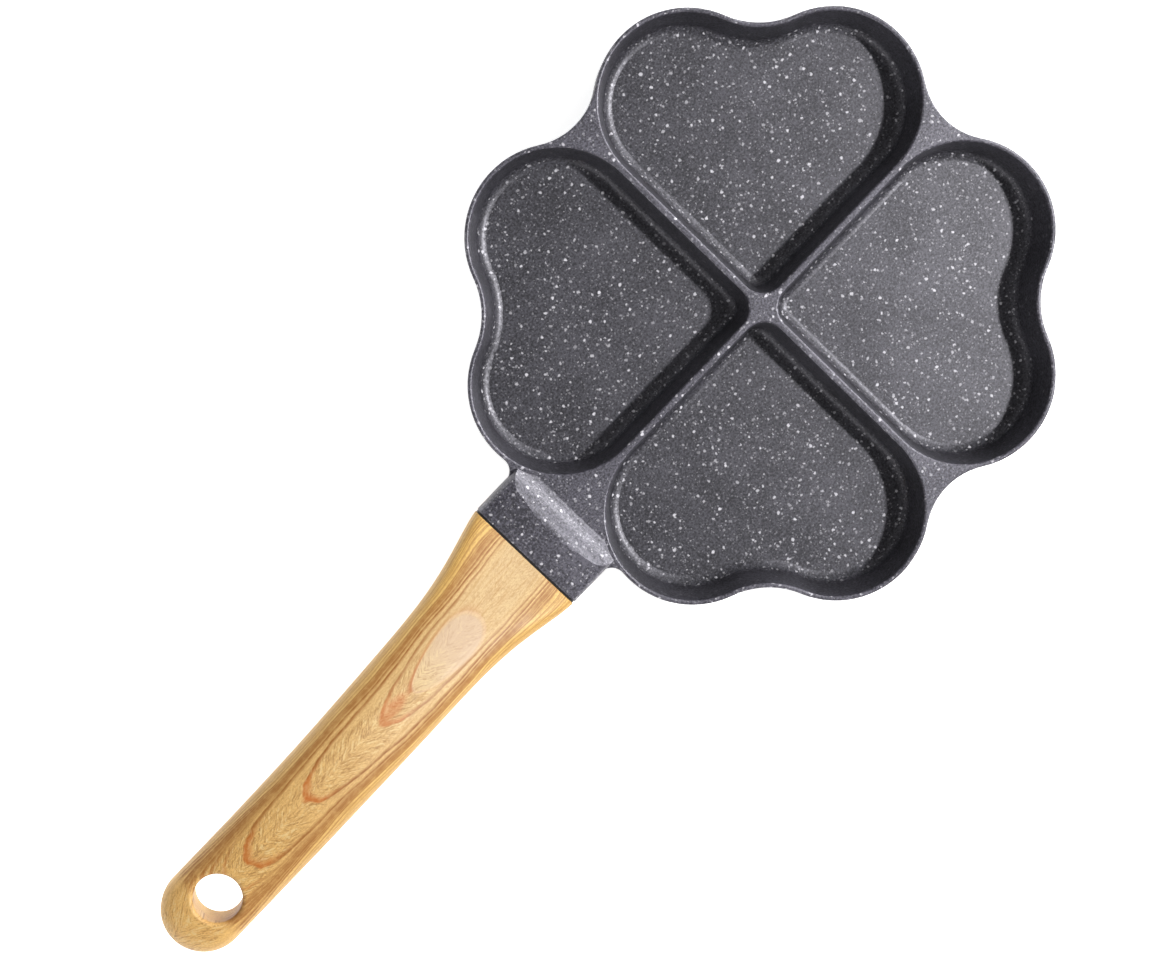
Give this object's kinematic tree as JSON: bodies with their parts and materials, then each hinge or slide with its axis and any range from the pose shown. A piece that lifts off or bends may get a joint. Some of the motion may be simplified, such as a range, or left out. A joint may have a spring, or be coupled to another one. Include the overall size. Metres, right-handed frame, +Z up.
{
  "type": "heart pancake pan",
  "caption": "Cast aluminium pancake pan with heart-shaped wells in a clover layout, a short cast shank and a screwed-on phenolic handle with a hanging hole.",
  "frame": {"origin": "centre of the pan's flat base, on the surface that it stands on", "axes": "+X from the pan's centre along the handle, +Z up out of the wells, +Y across the pan; the dividers lie along X and Y"},
  "size_m": [0.3806, 0.1946, 0.0583],
  "materials": {
    "coated_casting": "speckled non-stick coating",
    "gasket": "matte",
    "grip": "wood-patterned satin",
    "screw": "zinc plated",
    "washer": "zinc plated"
  },
  "bodies": {
    "root": {"pan_casting": "coated_casting", "handle_gasket": "gasket", "handle_grip": "grip", "handle_screw": "screw", "spring_washer": "washer", "flat_washer": "washer"}
  },
  "joints": []
}
